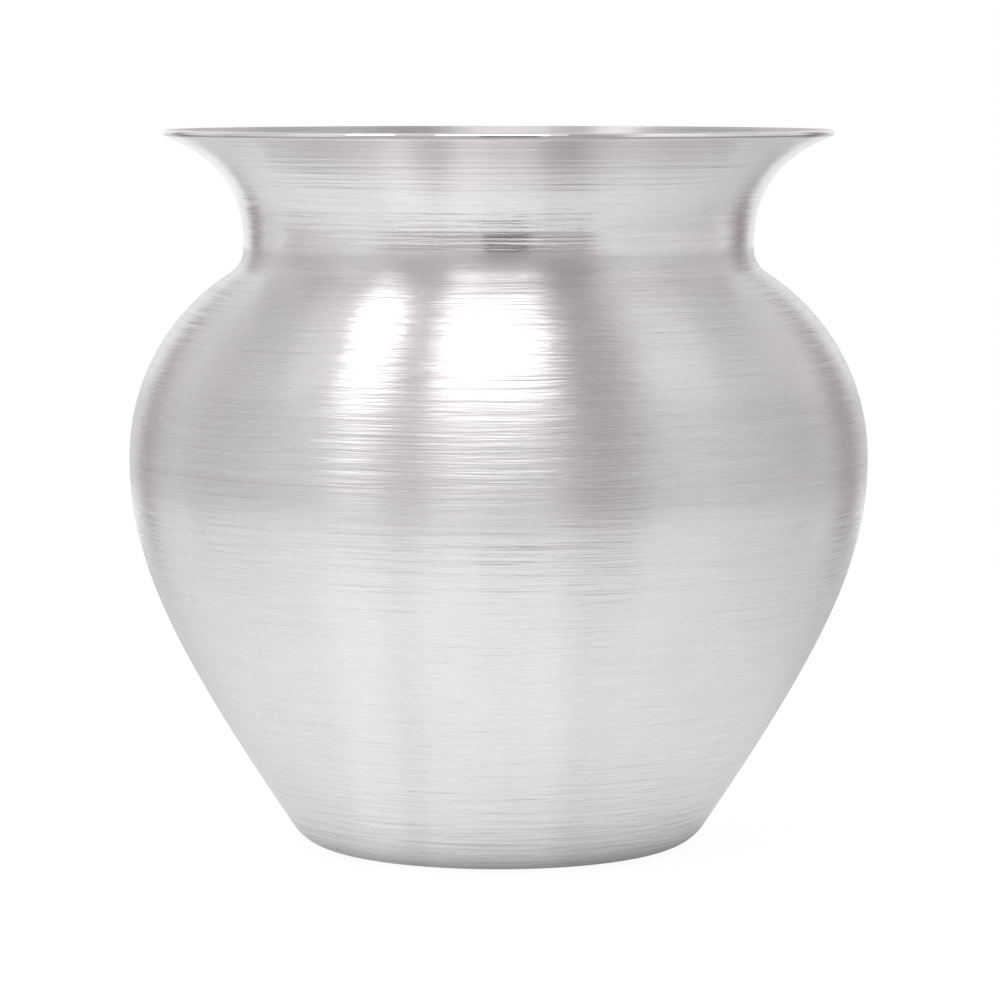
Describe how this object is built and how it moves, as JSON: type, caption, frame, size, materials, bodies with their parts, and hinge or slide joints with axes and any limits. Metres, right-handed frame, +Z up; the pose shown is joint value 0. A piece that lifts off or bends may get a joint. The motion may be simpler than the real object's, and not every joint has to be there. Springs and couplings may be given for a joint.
{
  "type": "lota",
  "caption": "Round-bellied lota in satin-brushed metal with a flat bottom, tapering flank, short neck and flared lip, spun in shells and soldered at flush lap seams.",
  "frame": {"origin": "centre of the flat bottom", "axes": "+Z up along the axis of revolution, from the bottom to the mouth; X and Y are any two directions across"},
  "size_m": [0.105, 0.105, 0.1018],
  "materials": {
    "brushed_silver": "satin, brushed round the axis on a lathe, with coarser turning lines on the neck",
    "silver_solder": "dressed flush and brushed with the shells, slightly greyer"
  },
  "bodies": {
    "root": {"lower_bowl": "brushed_silver", "shoulder": "brushed_silver", "flared_mouth": "brushed_silver", "belly_solder": "silver_solder", "neck_solder": "silver_solder"}
  },
  "joints": []
}
